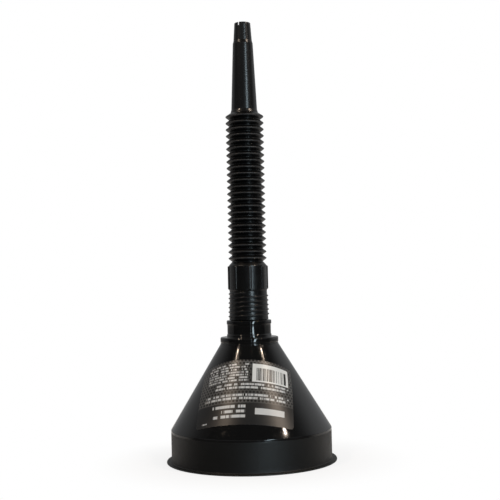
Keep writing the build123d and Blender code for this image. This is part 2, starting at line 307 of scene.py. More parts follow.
class Wiring:
    """Small shorthand for adding and linking the nodes of one tree."""

    def __init__(self, tree):
        self.tree = tree

    def node(self, kind, **settings):
        """Add a node and set its properties."""
        made = self.tree.nodes.new(kind)
        for key, value in settings.items():
            setattr(made, key, value)
        return made

    def join(self, source, target):
        """Link a socket, or set a plain value, on a target socket."""
        if isinstance(source, bpy.types.NodeSocket):
            self.tree.links.new(source, target)
        else:
            target.default_value = source

    def math(self, operation, a, b=0.0):
        """The result of one Math node."""
        made = self.node("ShaderNodeMath", operation=operation)
        self.join(a, made.inputs[0])
        self.join(b, made.inputs[1])
        return made.outputs[0]

    def parts(self, vector):
        """The X, Y and Z of a vector."""
        made = self.node("ShaderNodeSeparateXYZ")
        self.join(vector, made.inputs[0])
        return made.outputs

    def vector(self, x, y=0.0, z=0.0):
        """A vector from its parts."""
        made = self.node("ShaderNodeCombineXYZ")
        for value, target in zip((x, y, z), made.inputs):
            self.join(value, target)
        return made.outputs[0]

    def plus(self, a, b):
        """The sum of two values."""
        return self.math("ADD", a, b)

    def times(self, a, b):
        """The product of two values."""
        return self.math("MULTIPLY", a, b)

    def mix(self, factor, a, b):
        """A colour mix from a to b."""
        made = self.node("ShaderNodeMix", data_type="RGBA")
        self.join(factor, made.inputs[0])
        for value, target in ((a, made.inputs[6]), (b, made.inputs[7])):
            if not isinstance(value, bpy.types.NodeSocket):
                value = (*value, 1.0) if len(value) == 3 else value
            self.join(value, target)
        return made.outputs[2]

    def blend(self, factor, a, b):
        """A number mixed from a to b."""
        made = self.node("ShaderNodeMix", data_type="FLOAT")
        for value, target in zip((factor, a, b), made.inputs[:1] + made.inputs[2:4]):
            self.join(value, target)
        return made.outputs[0]

    def ramp(self, value, low, high):
        """A smooth 0 to 1 as value goes from low to high."""
        made = self.node("ShaderNodeMapRange", interpolation_type="SMOOTHSTEP")
        self.join(value, made.inputs[0])
        self.join(low, made.inputs[1])
        self.join(high, made.inputs[2])
        return made.outputs[0]

    def noise(self, vector, scale, detail=3.0, roughness=0.5):
        """A noise value at this many cells per metre."""
        made = self.node("ShaderNodeTexNoise")
        self.join(vector, made.inputs["Vector"])
        self.join(scale, made.inputs["Scale"])
        self.join(detail, made.inputs["Detail"])
        self.join(roughness, made.inputs["Roughness"])
        return made.outputs["Fac"]


def new_group(name, inputs, outputs):
    """A node group with a vector input, number inputs and number outputs."""
    group = bpy.data.node_groups.new(name, "ShaderNodeTree")
    add = group.interface.new_socket
    add("Vector", in_out="INPUT", socket_type="NodeSocketVector")
    for label, default in inputs:
        add(label, in_out="INPUT", socket_type="NodeSocketFloat").default_value = default
    for label in outputs:
        add(label, in_out="OUTPUT", socket_type="NodeSocketFloat")
    wiring = Wiring(group)
    return group, wiring, wiring.node("NodeGroupInput"), wiring.node("NodeGroupOutput")


def moulded_grain_group():
    """Fine surface of moulded plastic: waviness, grain and a worn-gloss mask."""
    name = "Moulded Grain"
    if name in bpy.data.node_groups:
        return bpy.data.node_groups[name]
    group, w, given, out = new_group(
        name,
        (
            ("Grain Scale", 1800.0),
            ("Grain Depth", 0.2),
            ("Wave Scale", 60.0),
            ("Wave Depth", 0.6),
            ("Wear", 0.3),
        ),
        ("Height", "Wear Mask", "Mottle"),
    )
    place = given.outputs["Vector"]
    grain = w.noise(place, given.outputs["Grain Scale"], 2.0)
    wave = w.noise(place, given.outputs["Wave Scale"], 2.0)
    height = w.plus(
        w.times(grain, given.outputs["Grain Depth"]),
        w.times(wave, given.outputs["Wave Depth"]),
    )
    smudge = w.ramp(w.noise(place, 28.0, 5.0, 0.62), 0.5, 0.74)
    specks = w.ramp(w.noise(place, 900.0, 1.0), 0.69, 0.76)
    mask = w.math("MAXIMUM", smudge, w.times(specks, 0.8))
    w.join(height, out.inputs["Height"])
    w.join(w.times(mask, given.outputs["Wear"]), out.inputs["Wear Mask"])
    w.join(w.noise(place, 140.0, 4.0, 0.6), out.inputs["Mottle"])
    return group


def fine_scratch_group():
    """Thin scratches in two directions, as a mask."""
    name = "Fine Scratches"
    if name in bpy.data.node_groups:
        return bpy.data.node_groups[name]
    group, w, given, out = new_group(
        name,
        (
            ("Density", 0.5),
        ),
        ("Mask",),
    )
    masks = []
    for turn, stretch in ((0.35, (90.0, 90.0, 4.0)), (1.2, (8.0, 120.0, 60.0))):
        mapping = w.node("ShaderNodeMapping")
        mapping.inputs["Rotation"].default_value = (turn, turn * 0.6, turn * 1.7)
        mapping.inputs["Scale"].default_value = stretch
        w.join(given.outputs["Vector"], mapping.inputs["Vector"])
        line = w.noise(mapping.outputs[0], 9.0, 2.0)
        masks.append(w.ramp(line, 0.665, 0.7))
    both = w.math("MAXIMUM", masks[0], masks[1])
    w.join(w.times(both, given.outputs["Density"]), out.inputs["Mask"])
    return group


def parting_line_group():
    """A thin line down two opposite sides, where the mould's halves met."""
    name = "Parting Line"
    if name in bpy.data.node_groups:
        return bpy.data.node_groups[name]
    group, w, given, out = new_group(
        name,
        (
            ("Turn", 0.0),
            ("Half Width", 0.00025),
        ),
        ("Mask",),
    )
    place = w.parts(given.outputs["Vector"])
    side = w.times(place["X"], w.math("COSINE", given.outputs["Turn"]))
    fore = w.times(place["Y"], w.math("SINE", given.outputs["Turn"]))
    away = w.math("ABSOLUTE", w.plus(side, fore))
    w.join(w.ramp(away, given.outputs["Half Width"], 0.0), out.inputs["Mask"])
    return group


def scaled(tint, factor):
    """A colour made lighter or darker, at most 1."""
    return tuple(min(1.0, c * factor) for c in tint)


def new_material(name, roughness, tint):
    """A material with its principled shader, ready to wire."""
    material = bpy.data.materials.new(name)
    material.use_nodes = True
    material.diffuse_color = (*tint, 1.0)
    tree = material.node_tree
    shader = tree.nodes["Principled BSDF"]
    shader.inputs["Base Color"].default_value = (*tint, 1.0)
    shader.inputs["Roughness"].default_value = roughness
    wiring = Wiring(tree)
    place = wiring.node("ShaderNodeTexCoord").outputs["Object"]
    return material, wiring, shader, place


def use_group(wiring, group, place, **values):
    """Place a shared group in a material and set its inputs."""
    made = wiring.node("ShaderNodeGroup", node_tree=group)
    wiring.join(place, made.inputs["Vector"])
    for key, value in values.items():
        wiring.join(value, made.inputs[key.replace("_", " ").title()])
    return made.outputs


def bump(wiring, shader, height, distance):
    """Feed a height, in metres times distance, to the shader's normal."""
    made = wiring.node("ShaderNodeBump")
    made.inputs["Strength"].default_value = 1.0
    made.inputs["Distance"].default_value = distance
    wiring.join(height, made.inputs["Height"])
    wiring.join(made.outputs[0], shader.inputs["Normal"])


# Painted highlight: the pale tint and roughness laid where a piece's stored highlight is set,
# standing in for light caught on crests and edges.
HIGHLIGHT_TINT = (0.032, 0.032, 0.034)
HIGHLIGHT_ROUGHNESS = 0.5
SATIN_EDGE = 1.2 * MM
SATIN_GREYS = ((0.0032, 0.0031, 0.003), (0.0065, 0.0063, 0.0061))
SATIN_FLECK = (0.026, 0.023, 0.021)
GRAIN_RELIEF = 0.03 * MM


def moulded_plastic(name, tint, roughness, grain, wear, seam_turn, satin=None):
    """Black moulded plastic; satin gives a height below which it is etched and greyer."""
    material, w, shader, place = new_material(name, roughness, tint)
    surface = use_group(
        w, moulded_grain_group(), place,
        grain_scale=2600.0, grain_depth=grain, wave_scale=45.0, wave_depth=0.3, wear=wear,
    )
    scratches = use_group(w, fine_scratch_group(), place, density=0.6)["Mask"]
    seam = use_group(w, parting_line_group(), place, turn=seam_turn)["Mask"]
    pale = scaled(tint, 2.0)
    base = w.mix(w.times(surface["Mottle"], 0.5), tint, pale)
    rough = w.blend(surface["Wear Mask"], roughness, min(1.0, roughness + 0.28))
    rough = w.blend(scratches, rough, roughness + 0.2)
    height = w.plus(surface["Height"], w.times(seam, 1.4))
    # Painted highlight: the colour is painted towards the pale tint where the stored highlight
    # is set.
    painted_highlight = w.node("ShaderNodeAttribute", attribute_name="painted_highlight").outputs["Fac"]
    base = w.mix(painted_highlight, base, HIGHLIGHT_TINT)
    rough = w.blend(painted_highlight, rough, HIGHLIGHT_ROUGHNESS)
    if satin:
        level, satin_roughness = satin
        below = w.ramp(w.parts(place)["Z"], level, level - SATIN_EDGE)
        etched = w.noise(place, 1500.0, 2.0, 0.7)
        cloud = w.noise(place, 22.0, 4.0, 0.55)
        grey = w.mix(w.ramp(cloud, 0.3, 0.75), *SATIN_GREYS)
        fleck = w.ramp(w.noise(place, 2300.0, 1.0), 0.62, 0.72)
        grey = w.mix(w.times(fleck, 0.5), grey, SATIN_FLECK)
        base = w.mix(below, base, grey)
        rough = w.blend(below, rough, satin_roughness)
        height = w.plus(height, w.times(w.times(etched, below), 1.6))
    w.join(base, shader.inputs["Base Color"])
    w.join(rough, shader.inputs["Roughness"])
    bump(w, shader, height, GRAIN_RELIEF)
    return material


def label_print(settings):
    """Dark printed film: punched-plate pattern, bars and a striped panel."""
    material, w, shader, place = new_material(
        "label_film", PRINT_ROUGHNESS, tuple(settings.ground)
    )
    flat = w.node("ShaderNodeUVMap", uv_map="flat")
    on_film = w.parts(flat.outputs[0])
    width = settings.width / MM
    height = (settings.bottom_slant - settings.top_slant) / MM
    x, y = w.times(on_film["X"], width), w.times(on_film["Y"], height)

    def inside(centre, size, soft=0.12):
        """A soft-edged rectangle's mask, in millimetres on the flat label."""
        masks = []
        for value, middle, extent in zip((x, y), centre, size):
            off = w.math("ABSOLUTE", w.math("SUBTRACT", value, middle))
            masks.append(w.ramp(off, extent / 2 + soft, extent / 2 - soft))
        return w.times(masks[0], masks[1])

    def cells(value, pitch):
        """Signed distance from the nearest of evenly spaced lines, in pitches."""
        turns = w.math("DIVIDE", value, pitch)
        return w.math("SUBTRACT", w.math("FRACT", turns), 0.5)

    def dots(pitch, radius):
        """Round holes on a staggered grid."""
        found = []
        row_gap = pitch * 1.73
        for shift in (0.0, 0.5):
            sx = w.plus(x, shift * pitch)
            sy = w.plus(y, shift * row_gap)
            dx = w.times(cells(sx, pitch), pitch)
            dy = w.times(cells(sy, row_gap), row_gap)
            squared = w.plus(w.times(dx, dx), w.times(dy, dy))
            away = w.math("SQRT", squared)
            found.append(w.ramp(away, radius + 0.12, radius - 0.12))
        return w.math("MAXIMUM", found[0], found[1])

    def rows(centre, size, count, seed, fill):
        """Lines of short broken bars that stand for rows of small print."""
        pitch = size[1] / count
        local = w.math("SUBTRACT", y, centre[1] - size[1] / 2)
        line = w.math("FLOOR", w.math("DIVIDE", local, pitch))
        in_line = w.ramp(w.math("ABSOLUTE", cells(local, pitch)), 0.36, 0.26)
        spot = w.vector(w.times(x, 1.7 / pitch), w.times(line, 17.3), seed)
        strokes = w.ramp(w.noise(spot, 2.2, 1.0), 0.62 - 0.3 * fill, 0.67 - 0.3 * fill)
        word = w.vector(w.times(x, 0.42 / pitch), w.times(line, 9.7), seed + 5.0)
        words = w.ramp(w.noise(word, 2.0, 0.0), 0.36, 0.4)
        area = w.times(in_line, inside(centre, size))
        return w.times(area, w.times(strokes, words))

    ground, grey, ink = tuple(settings.ground), tuple(settings.grey), tuple(settings.ink)
    sheen = w.noise(flat.outputs[0], 2.3, 2.0)
    plate = w.mix(w.ramp(sheen, 0.3, 0.7), scaled(grey, 0.45), grey)
    base = w.mix(dots(DOT_PITCH, DOT_RADIUS), plate, scaled(ground, 0.4))
    for centre, size in LABEL_PANELS:
        base = w.mix(inside(centre, size, 0.3), base, ground)
    for centre, size, count, seed, fill in LABEL_ROWS:
        base = w.mix(rows(centre, size, count, seed, fill), base, ink)
    for centre, size in LABEL_BARS:
        base = w.mix(inside(centre, size, 0.08), base, ink)
    base = w.mix(inside(*BAR_PANEL, 0.1), base, PANEL_PAPER)
    chance = w.node("ShaderNodeTexWhiteNoise", noise_dimensions="3D")
    w.join(w.vector(w.math("FLOOR", w.times(x, 2.6))), chance.inputs["Vector"])
    stripes = w.times(w.ramp(chance.outputs["Value"], 0.5, 0.52), inside(*BAR_STRIPES))
    base = w.mix(stripes, base, PANEL_STRIPE)
    wear_and_highlight = use_group(w, moulded_grain_group(), place, grain_scale=1500.0, wear=0.5)
    w.join(base, shader.inputs["Base Color"])
    rough = w.blend(wear_and_highlight["Wear Mask"], PRINT_ROUGHNESS, 0.5)
    w.join(rough, shader.inputs["Roughness"])
    bump(w, shader, wear_and_highlight["Height"], FILM_RELIEF)
    return material


PRINT_ROUGHNESS = 0.34
FILM_RELIEF = 0.02 * MM
PANEL_PAPER = (0.78, 0.78, 0.77)
PANEL_STRIPE = (0.015, 0.015, 0.015)
DOT_PITCH, DOT_RADIUS = 3.3, 1.12
# Print on the flat label, in millimetres from its lower left corner: panels of plain
# ground, rows of broken bars, plain bars and the striped panel.
LABEL_PANELS = (((46.0, 10.5), (92.0, 21.0)),)
LABEL_ROWS = (
    ((32.0, 17.6), (31.0, 4.4), 1, 1.0, 0.95),
    ((32.5, 8.2), (30.0, 4.4), 1, 6.0, 0.95),
    ((36.5, 12.9), (22.0, 4.2), 1, 8.0, 0.95),
    ((9.0, 3.6), (5.0, 2.0), 1, 9.0, 0.8),
    ((46.0, 27.0), (76.0, 6.4), 2, 2.0, 0.75),
    ((51.0, 37.4), (66.0, 6.4), 2, 4.0, 0.75),
    ((29.0, 51.0), (40.0, 18.5), 7, 3.0, 0.7),
)
LABEL_BARS = (
    ((86.5, 28.4), (1.5, 1.2)),
    ((86.5, 38.8), (1.5, 1.2)),
    ((69.5, 13.0), (27.0, 6.0)),
)
BAR_PANEL = ((70.0, 50.5), (35.0, 18.0))
BAR_STRIPES = ((70.0, 49.2), (31.0, 12.6))


def plain_plastic(name, tint, roughness, grain):
    """Satin moulded plastic for the hidden strainer."""
    material, w, shader, place = new_material(name, roughness, tint)
    surface = use_group(w, moulded_grain_group(), place, grain_depth=grain, wear=0.4)
    pale = scaled(tint, 1.6)
    w.join(w.mix(surface["Mottle"], tint, pale), shader.inputs["Base Color"])
    w.join(w.blend(surface["Wear Mask"], roughness, roughness + 0.2), shader.inputs["Roughness"])
    bump(w, shader, surface["Height"], GRAIN_RELIEF)
    return material


def dress(piece, material):
    """Give a new piece its one material."""
    piece.data.materials.clear()
    piece.data.materials.append(material)


# ---- operators


class FUNNEL_OT_bowl(bpy.types.Operator):
    """Turn the bowl: rim, skirt, cone, strainer seat, neck and outlet"""

    bl_idname = "funnel.bowl"
    bl_label = "Bowl"

    def execute(self, context):
        s = context.scene.funnel_bowl
        outline = spaced(rounded(self.corners(s)), 4 * MM)
        piece = lathe("bowl", outline, 256)
        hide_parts("funnel_body")
        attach(piece, "funnel")
        dress(
            piece,
            moulded_plastic(
                "bowl_plastic", tuple(s.tint), s.gloss_roughness, 0.05, 0.35,
                math.radians(4.0), (s.skirt_height - SATIN_EDGE, s.skirt_roughness),
            ),
        )
        return {"FINISHED"}

    @staticmethod
    def corners(s):
        """Corners of the moulding's section, outside first, then back down the inside."""
        rim = BODY_BOX[1].x
        outlet_top = BODY_BOX[1].z
        slope = (s.seat_bottom - s.skirt_height) / (s.skirt_radius - s.seat_radius)
        drop = s.wall * math.hypot(1.0, slope)
        bead = s.neck_radius + s.neck_bead
        groove = s.seat_radius - 0.35 * MM
        skirt_bore = s.skirt_radius - s.wall
        seat_bore = s.seat_radius - s.wall
        neck_bore = s.neck_radius - s.wall
        outlet_bore = s.outlet_radius - 2.0 * MM
        ceiling = s.neck_top - s.wall

        def cone_inside(radius):
            return s.seat_bottom - slope * (radius - s.seat_radius) - drop

        return (
            (skirt_bore, 0.0, 0.5 * MM),
            (rim, 0.0, 0.3 * MM),
            (rim, s.rim_thickness, 0.55 * MM),
            (s.skirt_radius, s.rim_thickness, 0.8 * MM),
            (s.skirt_radius, s.skirt_height, 1.6 * MM),
            (s.seat_radius, s.seat_bottom, 0.5 * MM),
            (s.seat_radius, s.seat_bottom + 0.5 * MM, 0.2 * MM),
            (groove, s.seat_bottom + 0.9 * MM, 0.2 * MM),
            (groove, s.seat_bottom + 1.7 * MM, 0.2 * MM),
            (s.seat_radius, s.seat_bottom + 2.1 * MM, 0.4 * MM),
            (s.seat_radius, s.seat_top, 1.1 * MM),
            (bead, s.seat_top, 0.5 * MM),
            (bead, s.seat_top + 2.2 * MM, 0.5 * MM),
            (s.neck_radius, s.seat_top + 2.8 * MM, 0.4 * MM),
            (s.neck_radius, s.neck_top - 4.0 * MM, 0.4 * MM),
            (bead, s.neck_top - 3.4 * MM, 0.4 * MM),
            (bead, s.neck_top, 0.8 * MM),
            (s.outlet_radius, s.neck_top, 0.3 * MM),
            (s.outlet_radius, outlet_top, 0.4 * MM),
            (outlet_bore, outlet_top, 0.4 * MM),
            (outlet_bore, ceiling, 0.4 * MM),
            (neck_bore, ceiling, 0.8 * MM),
            (neck_bore, s.seat_top - s.wall, 0.4 * MM),
            (seat_bore, s.seat_top - s.wall, 0.2 * MM),
            (seat_bore, cone_inside(seat_bore), 0.4 * MM),
            (skirt_bore, cone_inside(skirt_bore), 1.0 * MM),
        )


class FUNNEL_OT_label(bpy.types.Operator):
    """Wrap the rectangular label on the cone's front"""

    bl_idname = "funnel.label"
    bl_label = "Label"

    def execute(self, context):
        s = context.scene.funnel_label
        bowl = context.scene.funnel_bowl
        piece = self.wrapped(s, bowl)
        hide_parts("label")
        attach(piece, "funnel")
        dress(piece, label_print(s))
        return {"FINISHED"}

    @staticmethod
    def wrapped(s, bowl):
        """A closed film whose flat rectangle is rolled on the cone, with a flat UV map."""
        run = bowl.skirt_radius - bowl.seat_radius
        rise = bowl.seat_bottom - bowl.skirt_height
        half_angle = math.atan2(run, rise)
        apex = bowl.seat_bottom + bowl.seat_radius * rise / run
        height = s.bottom_slant - s.top_slant
        columns, rows = 92, 63
        middle = front_angle(s.turn)

        def corner_cut(a, b):
            """Pull a point of the square corner on to the corner's arc."""
            ca = math.copysign(max(abs(a) - (s.width / 2 - s.corner), 0.0), a)
            mid = (s.top_slant + s.bottom_slant) / 2
            cb = math.copysign(max(abs(b - mid) - (height / 2 - s.corner), 0.0), b - mid)
            reach = math.hypot(ca, cb)
            if ca and cb and reach > 0:
                square = max(abs(ca), abs(cb))
                pull = square / reach
                return a - ca + ca * pull, b - cb + cb * pull
            return a, b

        def placed(a, b, lift):
            slant = math.hypot(a, b)
            angle = middle + math.atan2(a, b) / math.sin(half_angle)
            radius = slant * math.sin(half_angle) + lift * math.cos(half_angle)
            z = apex - slant * math.cos(half_angle) + lift * math.sin(half_angle)
            return radius * math.cos(angle), radius * math.sin(angle), z

        mesh = bmesh.new()
        flat = mesh.loops.layers.uv.new("flat")
        sides, places = [], {}
        for lift in (0.02 * MM, s.thickness):
            grid = []
            for j in range(rows + 1):
                line = []
                for i in range(columns + 1):
                    a, b = corner_cut(
                        s.width * (i / columns - 0.5), s.top_slant + height * j / rows
                    )
                    vertex = mesh.verts.new(placed(a, b, lift))
                    places[vertex] = (a / s.width + 0.5, (s.bottom_slant - b) / height)
                    line.append(vertex)
                grid.append(line)
            sides.append(grid)
        back, face = sides
        for j in range(rows):
            for i in range(columns):
                mesh.faces.new((face[j][i], face[j + 1][i], face[j + 1][i + 1], face[j][i + 1]))
                mesh.faces.new((back[j][i], back[j][i + 1], back[j + 1][i + 1], back[j + 1][i]))
        border = [(0, i) for i in range(columns)]
        border += [(j, columns) for j in range(rows)]
        border += [(rows, i) for i in range(columns, 0, -1)]
        border += [(j, 0) for j in range(rows, 0, -1)]
        for (j, i), (n, m) in zip(border, border[1:] + border[:1]):
            mesh.faces.new((face[j][i], face[n][m], back[n][m], back[j][i]))
        for polygon in mesh.faces:
            for loop in polygon.loops:
                loop[flat].uv = places[loop.vert]
        return finished("label_film", mesh)


class FUNNEL_OT_sleeve(bpy.types.Operator):
    """Turn the spout's sleeve and raise its thread and grip ribs"""

    bl_idname = "funnel.sleeve"
    bl_label = "Threaded sleeve and grip"

    def execute(self, context):
        s = context.scene.funnel_spout
        foot = SLEEVE_BOX[0].z
        band = foot + s.thread_length
        ridge_start = foot + s.thread_lead_in
        turns = (s.thread_length - 2 * s.thread_lead_in) / s.thread_pitch
        neck = BELLOWS_FOOT - SLEEVE_HANDOVER
        shoulder = shoulder_radius(s)
        corners = (
            (s.foot_radius - s.wall, foot, 0.3 * MM),
            (s.foot_radius, foot, 0.4 * MM),
            (s.band_radius, band, 6.0 * MM),
            (s.band_radius, s.grip_bottom - 1.2 * MM, 1.0 * MM),
            (s.grip_radius, s.grip_bottom + 0.2 * MM, 1.0 * MM),
            (s.grip_radius, s.grip_top, 1.6 * MM),
            (shoulder, neck),
            (shoulder - s.wall, neck),
            (s.grip_radius - s.wall, s.grip_top - 0.6 * MM, 1.0 * MM),
            (s.grip_radius - s.wall, s.grip_bottom, 1.0 * MM),
            (s.band_radius - s.wall, s.grip_bottom - 1.0 * MM, 1.0 * MM),
            (s.band_radius - s.wall, band, 4.0 * MM),
        )
        rib_reach = (s.grip_top - s.grip_bottom - s.rib_width) / 2
        rib_middle = (s.grip_top + s.grip_bottom) / 2
        inner_edge = s.band_radius - s.wall / 2

        def ridge(angle, z):
            place = (angle / math.tau) % 1.0
            off = (z - ridge_start) / s.thread_pitch - place
            turn = round(off) + place
            if z > band + 0.5 * MM:
                return 0.0
            away = abs(z - ridge_start - turn * s.thread_pitch)
            ends = smoothstep(turn / 0.06) * smoothstep((turns - turn) / 0.06)
            return ends * smoothstep((s.thread_width / 2 - away) / (s.thread_width * 0.36))

        def rib(angle, r, z):
            gap = math.tau / s.rib_count
            round_way = (angle - front_angle(s.rib_turn) + gap / 2) % gap - gap / 2
            past = max(abs(z - rib_middle) - rib_reach, 0.0)
            away = math.hypot(round_way * r, past)
            return smoothstep((s.rib_width / 2 - away) / (0.7 * MM))

        def outer(r, z):
            return r >= inner_edge and z <= s.grip_top + 1.2 * MM

        def shape(angle, r, z):
            if not outer(r, z):
                return r
            return r + s.thread_depth * ridge(angle, z) + s.rib_height * rib(angle, r, z)

        # Painted highlight: rib edges and thread ridges are painted paler, standing in for light
        # caught on them.
        def painted_highlight(angle, r, z):
            if not outer(r, z):
                return 0.0
            edge = 4 * rib(angle, r, z) * (1 - rib(angle, r, z))
            return max(0.3 * ridge(angle, z), 0.95 * edge)

        outline = graded(rounded(corners, 6), foot, band, s.grip_top + 2 * MM)
        piece = lathe("spout_sleeve_skin", outline, 320, shape)
        paint_highlight(piece, painted_highlight)
        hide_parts("spout_sleeve")
        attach(piece, "spout_base")
        dress(piece, spout_plastic(s))
        return {"FINISHED"}


SLEEVE_HANDOVER = 2.2 * MM
NOZZLE_HANDOVER = 1.9 * MM
NOZZLE_WALL = 1.2 * MM
NOZZLE_SET_IN = 0.15 * MM
# Width of the band at each crest, used in the fold's section and for the painted highlight.
CREST_BAND = 0.6 * MM


def shoulder_radius(s):
    """Radius on the sloping shoulder where the sleeve ends and the bellows begins."""
    slope = (s.grip_radius - s.valley_radius) / (BELLOWS_FOOT - s.grip_top)
    return s.valley_radius + SLEEVE_HANDOVER * slope


def graded(outline, foot, band, top):
    """Closer rows on the threaded and ribbed outside, wide ones elsewhere."""
    points = []
    for i, here in enumerate(outline):
        after = outline[(i + 1) % len(outline)]
        outside = after.y > here.y and foot <= here.y <= top
        gap = (0.24 if here.y < band else 0.6) * MM if outside else 4 * MM
        pieces = max(1, math.ceil((after - here).length / gap))
        points += [here.lerp(after, k / pieces) for k in range(pieces)]
    return points


def spout_plastic(s):
    """The spout's one material, made once."""
    name = "spout_finish"
    if name in bpy.data.materials:
        return bpy.data.materials[name]
    return moulded_plastic(name, tuple(s.tint), s.roughness, 0.12, 0.4, math.radians(62.0))


class FUNNEL_OT_bellows(bpy.types.Operator):
    """Turn the bellows as skins from crest to crest, each with a valley in its middle"""

    bl_idname = "funnel.bellows"
    bl_label = "Bellows"

    def execute(self, context):
        s = context.scene.funnel_spout
        for number in range(len(FOLDS) + 1):
            valley = BELLOWS_FOOT + number * PITCH
            first, last = number == 0, number == len(FOLDS)
            outline = self.outline(s, valley, first, last)
            piece = lathe(f"fold_{number:02d}", outline, 128)
            paint_highlight(piece, self.painted_highlight)
            if not first:
                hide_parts(FOLDS[number - 1])
            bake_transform(piece)
            dress(piece, spout_plastic(s))
        return {"FINISHED"}

    @staticmethod
    def painted_highlight(angle, r, z):
        """Painted highlight: the crests are painted paler, standing in for light caught on their
        rounded edges.
        """
        return 0.9 * smoothstep((r - CREST_RADIUS + CREST_BAND) / (0.7 * CREST_BAND))

    @staticmethod
    def outline(s, valley, first, last):
        """The section of one skin: up the outside across the valley, back down inside."""
        half = PITCH / 2
        crest_flat, valley_flat = 0.28 * MM, 0.2 * MM
        wall = s.fold_wall
        slope_wall = 1.15 * wall
        low = valley - half
        high = valley + half
        crest = CREST_RADIUS
        edge = crest - CREST_BAND
        rise = CREST_BAND * (half - crest_flat) / (crest - s.valley_radius)
        outside, inside = [], []
        if first:
            start = valley - SLEEVE_HANDOVER
            shoulder = shoulder_radius(s)
            outside.append((shoulder, start))
            inside.append((shoulder - s.wall, start))
        else:
            outside += [(crest, low), (crest, low + crest_flat, 0.3 * MM)]
            outside.append((edge, low + crest_flat + rise))
            inside += [(crest - wall, low), (crest - wall, low + crest_flat * 0.5)]
        outside += [
            (s.valley_radius, valley - valley_flat, 0.35 * MM),
            (s.valley_radius, valley + valley_flat, 0.35 * MM),
        ]
        inside += [
            (s.valley_radius - wall, valley - valley_flat - wall * 0.4, 0.4 * MM),
            (s.valley_radius - wall, valley + valley_flat + wall * 0.4, 0.4 * MM),
        ]
        if last:
            root = valley + NOZZLE_HANDOVER
            outside[-2:] = [(s.nozzle_root + 0.2 * MM, valley + 0.5 * MM, 0.7 * MM)]
            outside.append((s.nozzle_root - NOZZLE_SET_IN, root))
            inside[-2:] = [(s.nozzle_root - slope_wall, valley + 0.2 * MM, 0.5 * MM)]
            inside.append((s.nozzle_root - NOZZLE_SET_IN - NOZZLE_WALL, root))
        else:
            outside.append((edge, high - crest_flat - rise))
            outside += [(crest, high - crest_flat, 0.3 * MM), (crest, high)]
            inside += [(crest - wall, high - crest_flat * 0.5), (crest - wall, high)]
        return rounded(outside + inside[::-1], 4)


class FUNNEL_OT_nozzle(bpy.types.Operator):
    """Turn the tapered nozzle with its stepped tip and cut the vent notch"""

    bl_idname = "funnel.nozzle"
    bl_label = "Nozzle"

    def execute(self, context):
        s = context.scene.funnel_spout
        wall = NOZZLE_WALL
        foot = NOZZLE_BOX[0].z + NOZZLE_HANDOVER
        end = NOZZLE_BOX[1].z
        tip = end - s.tip_length
        step = tip - s.step_height
        base = foot + 1.5 * MM
        root = s.nozzle_root - NOZZLE_SET_IN
        corners = (
            (root - wall, foot),
            (root, foot),
            (s.nozzle_base, base, 2.5 * MM),
            (s.nozzle_step, step, 0.5 * MM),
            (s.tip_base, tip, 0.35 * MM),
            (s.tip_end, end, 0.45 * MM),
            (s.tip_end - wall, end, 0.3 * MM),
            (s.tip_base - wall, tip, 1.0 * MM),
            (s.nozzle_step - wall, step, 1.0 * MM),
            (s.nozzle_base - wall, base, 2.0 * MM),
        )
        piece = lathe("nozzle_skin", spaced(rounded(corners, 6), 3 * MM), 160)
        self.cut_vent(piece, s, end)
        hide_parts("nozzle")
        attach(piece, "nozzle")
        dress(piece, spout_plastic(s))
        return {"FINISHED"}

    @staticmethod
    def cut_vent(piece, s, end):
        """Cut a square slot through the tip's wall on one side."""
        mesh = bmesh.new()
        bmesh.ops.create_cube(mesh, size=1.0)
        reach = 2 * s.tip_end
        size = Matrix.Diagonal((reach, s.vent_width, 2 * s.vent_depth, 1.0))
        turn = Matrix.Rotation(front_angle(s.vent_turn), 4, "Z")
        place = turn @ Matrix.Translation((reach / 2, 0.0, end)) @ size
        bmesh.ops.transform(mesh, matrix=place, verts=mesh.verts)
        cutter = finished("vent_cutter", mesh)
        cut = piece.modifiers.new("vent", "BOOLEAN")
        cut.operation = "DIFFERENCE"
        cut.solver = "EXACT"
        cut.object = cutter
        graph = bpy.context.evaluated_depsgraph_get()
        carved = bpy.data.meshes.new_from_object(piece.evaluated_get(graph))
        piece.modifiers.clear()
        piece.data = carved
        carved.shade_smooth()
        carved.set_sharp_from_angle(angle=SHARP)
        bpy.data.objects.remove(cutter, do_unlink=True)


class FUNNEL_OT_strainer(bpy.types.Operator):
    """Finish the strainer's frame and mesh"""

    bl_idname = "funnel.strainer"
    bl_label = "Strainer"

    def execute(self, context):
        s = context.scene.funnel_strainer
        finishes = {
            "strainer_frame": plain_plastic("strainer_plastic", tuple(s.frame_tint), 0.42, 0.3),
            "strainer_mesh": plain_plastic("mesh_plastic", tuple(s.mesh_tint), 0.55, 0.5),
        }
        for node, material in finishes.items():
            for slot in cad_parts[node].material_slots:
                slot.material = material
        return {"FINISHED"}


